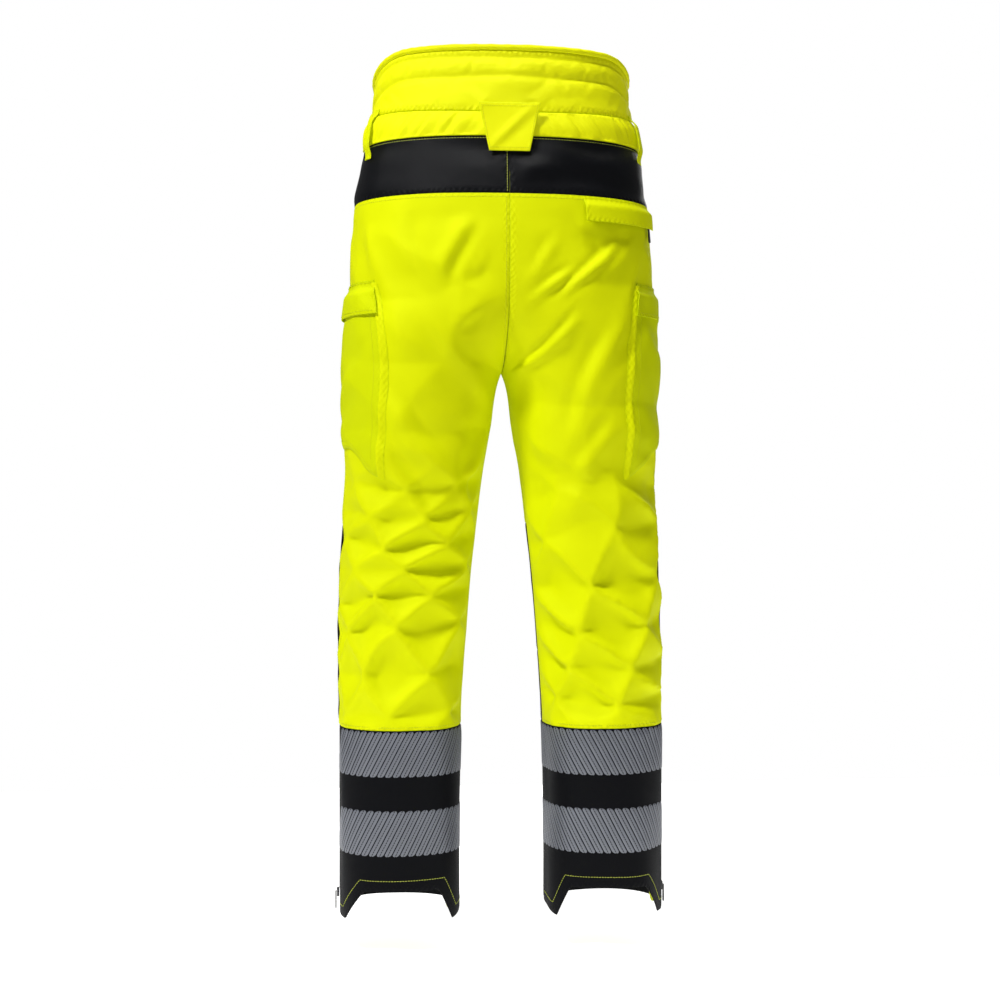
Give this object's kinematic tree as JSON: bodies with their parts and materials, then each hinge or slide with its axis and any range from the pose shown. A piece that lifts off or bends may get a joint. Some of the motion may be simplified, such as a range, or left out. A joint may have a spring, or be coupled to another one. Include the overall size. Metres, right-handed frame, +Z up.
{
  "type": "high-visibility winter work trousers",
  "caption": "Padded high-visibility work trousers with a raised kidney panel, elastic waist, cargo pockets, leg zips and reflective bands.",
  "frame": {"origin": "middle of the waist opening, at the height of the waistband's middle, where the wearer's waist holds the garment up", "axes": "+Z up, +Y the way the wearer faces, so the back is at -Y, and +X is the wearer's right"},
  "size_m": [0.4944, 0.2853, 1.2596],
  "materials": {
    "hi_vis_cloth": "matte",
    "black_cloth": "matte",
    "tough_black_cloth": "matte",
    "reflective_tape": "satin",
    "lining_cloth": "matte",
    "elastic_cloth": "matte",
    "zip_cloth": "matte",
    "black_plastic": "satin",
    "snap_metal": "satin",
    "hook_loop": "matte"
  },
  "bodies": {
    "trousers": {"back_leg_panel_left": "hi_vis_cloth", "back_yoke_left": "black_cloth", "front_hip_panel_left": "black_cloth", "front_thigh_panel_left": "hi_vis_cloth", "knee_patch_left": "tough_black_cloth", "front_shin_panel_left": "black_cloth", "lower_leg_back_left": "tough_black_cloth", "lower_leg_front_left": "tough_black_cloth", "reflective_band_upper_left": "reflective_tape", "reflective_band_lower_left": "reflective_tape", "leg_lining_left": "lining_cloth", "waistband_front_left": "black_cloth", "side_belt_loop_left": "hi_vis_cloth", "front_belt_loop_left": "black_cloth", "cargo_pocket_left": "hi_vis_cloth", "cargo_hook_loop_left": "hook_loop", "hand_pocket_welt_left": "tough_black_cloth", "leg_zip_left": "zip_cloth", "leg_zip_gusset_left": "hi_vis_cloth", "back_leg_panel_right": "hi_vis_cloth", "back_yoke_right": "black_cloth", "front_hip_panel_right": "black_cloth", "front_thigh_panel_right": "hi_vis_cloth", "knee_patch_right": "tough_black_cloth", "front_shin_panel_right": "black_cloth", "lower_leg_back_right": "tough_black_cloth", "lower_leg_front_right": "tough_black_cloth", "reflective_band_upper_right": "reflective_tape", "reflective_band_lower_right": "reflective_tape", "leg_lining_right": "lining_cloth", "waistband_front_right": "black_cloth", "side_belt_loop_right": "hi_vis_cloth", "front_belt_loop_right": "black_cloth", "cargo_pocket_right": "hi_vis_cloth", "cargo_hook_loop_right": "hook_loop", "hand_pocket_welt_right": "tough_black_cloth", "leg_zip_right": "zip_cloth", "leg_zip_gusset_right": "hi_vis_cloth", "kidney_panel": "hi_vis_cloth", "kidney_facing": "lining_cloth", "waistband_back": "elastic_cloth", "kidney_binding": "hi_vis_cloth", "centre_back_tab": "hi_vis_cloth", "fly_zip": "zip_cloth", "snap_socket": "snap_metal", "back_pocket_zip": "zip_cloth"},
    "fly_flap": {"fly_storm_flap": "black_cloth", "waist_tab": "black_cloth", "snap_cap": "snap_metal"},
    "fly_slider": {"fly_zip_slider": "black_plastic"},
    "back_pocket_flap": {"back_pocket_flap": "hi_vis_cloth"},
    "back_pocket_slider": {"back_pocket_slider": "black_plastic", "back_pocket_pull": "black_plastic"},
    "cargo_flap_left": {"cargo_flap_left": "hi_vis_cloth"},
    "leg_zip_slider_left": {"leg_zip_slider_left": "black_plastic"},
    "leg_zip_pull_left": {"leg_zip_pull_left": "black_plastic"},
    "cargo_flap_right": {"cargo_flap_right": "hi_vis_cloth"},
    "leg_zip_slider_right": {"leg_zip_slider_right": "black_plastic"},
    "leg_zip_pull_right": {"leg_zip_pull_right": "black_plastic"}
  },
  "joints": [
    {"name": "fly_flap_hinge", "type": "hinge", "parent": "trousers", "child": "fly_flap", "pos_m": [0.02316, 0.12837, -0.02994], "axis": [0.0017, 0.0239, -0.9997], "range_deg": [0, 90]},
    {"name": "fly_zip_slide", "type": "slide", "parent": "trousers", "child": "fly_slider", "axis": [0, 0.0245, -0.9997], "range_m": [0, 0.155]},
    {"name": "back_pocket_flap_hinge", "type": "hinge", "parent": "trousers", "child": "back_pocket_flap", "pos_m": [0.1766, -0.1119, -0.1212], "axis": [-0.8081, -0.5891, 0], "range_deg": [0, 100]},
    {"name": "back_pocket_zip_run", "type": "hinge", "parent": "trousers", "child": "back_pocket_slider", "pos_m": [0.084, 0.013, -0.14], "axis": [0, 0, -1], "range_deg": [0, 34]},
    {"name": "cargo_flap_left_hinge", "type": "hinge", "parent": "trousers", "child": "cargo_flap_left", "pos_m": [-0.23784, -0.00684, -0.24553], "axis": [0, 1, 0], "range_deg": [0, 110]},
    {"name": "leg_zip_left_slide", "type": "slide", "parent": "trousers", "child": "leg_zip_slider_left", "axis": [0, 0, 1], "range_m": [0, 0.235]},
    {"name": "leg_zip_pull_left_hinge", "type": "hinge", "parent": "leg_zip_slider_left", "child": "leg_zip_pull_left", "pos_m": [-0.2463, 0, -1.13], "axis": [0, 1, 0], "range_deg": [0, 160]},
    {"name": "cargo_flap_right_hinge", "type": "hinge", "parent": "trousers", "child": "cargo_flap_right", "pos_m": [0.23784, -0.00684, -0.24553], "axis": [0, -1, 0], "range_deg": [0, 110]},
    {"name": "leg_zip_right_slide", "type": "slide", "parent": "trousers", "child": "leg_zip_slider_right", "axis": [0, 0, 1], "range_m": [0, 0.235]},
    {"name": "leg_zip_pull_right_hinge", "type": "hinge", "parent": "leg_zip_slider_right", "child": "leg_zip_pull_right", "pos_m": [0.2463, 0, -1.13], "axis": [0, -1, 0], "range_deg": [0, 160]}
  ]
}
